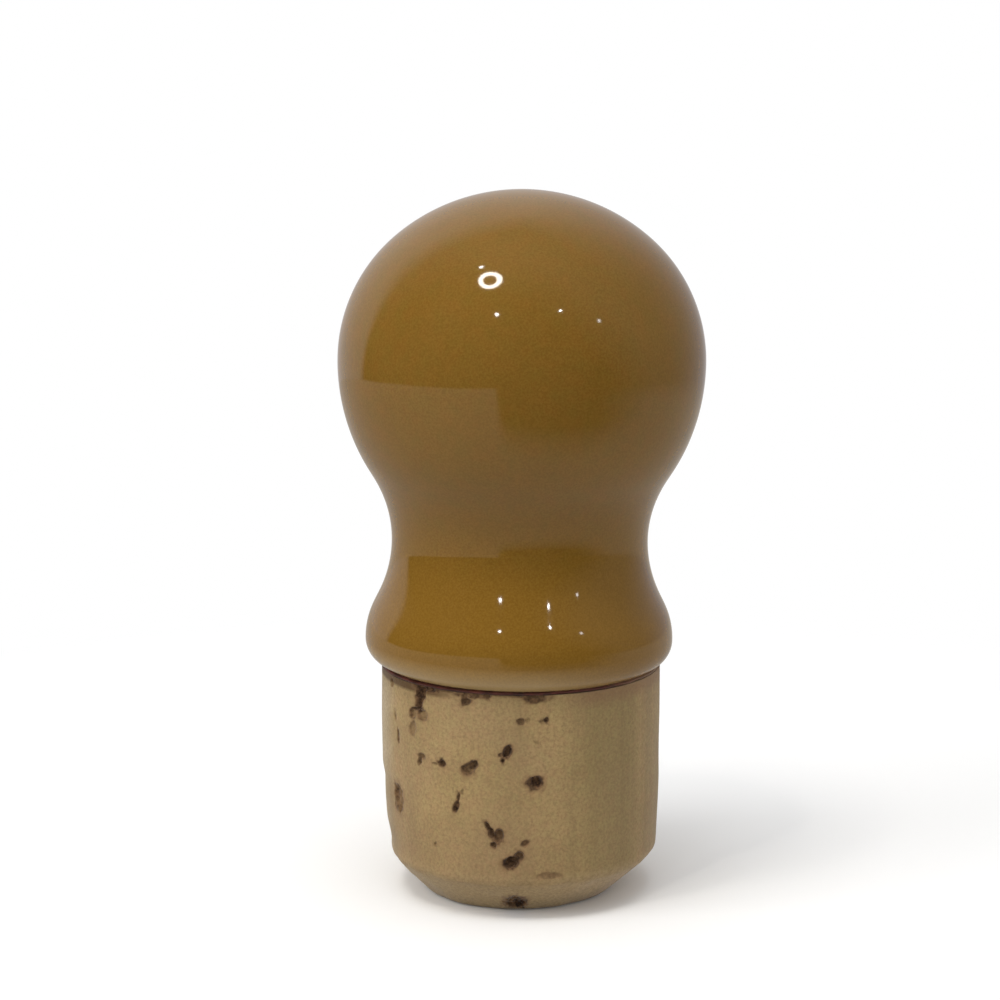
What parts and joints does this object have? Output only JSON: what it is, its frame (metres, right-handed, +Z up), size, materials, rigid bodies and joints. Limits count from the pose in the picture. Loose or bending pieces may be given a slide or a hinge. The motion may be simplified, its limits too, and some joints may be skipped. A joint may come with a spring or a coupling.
{
  "type": "ceramic wine stopper",
  "caption": "Bottle stopper with a glazed ball-shaped ceramic head, a narrow waist and a flared foot, glued by a peg to a straight natural cork plug.",
  "frame": {"origin": "centre of the cork's flat lower face", "axes": "+Z up along the cork's axis, -Y towards the side with the pits"},
  "size_m": [0.0272, 0.0272, 0.0525],
  "materials": {
    "glaze": "glossy mustard glaze on earthenware",
    "cork": "sanded natural cork with pits",
    "adhesive": "set red-brown adhesive"
  },
  "bodies": {
    "root": {"ceramic_head": "glaze", "cork_plug": "cork", "glue_bed": "adhesive"}
  },
  "joints": []
}
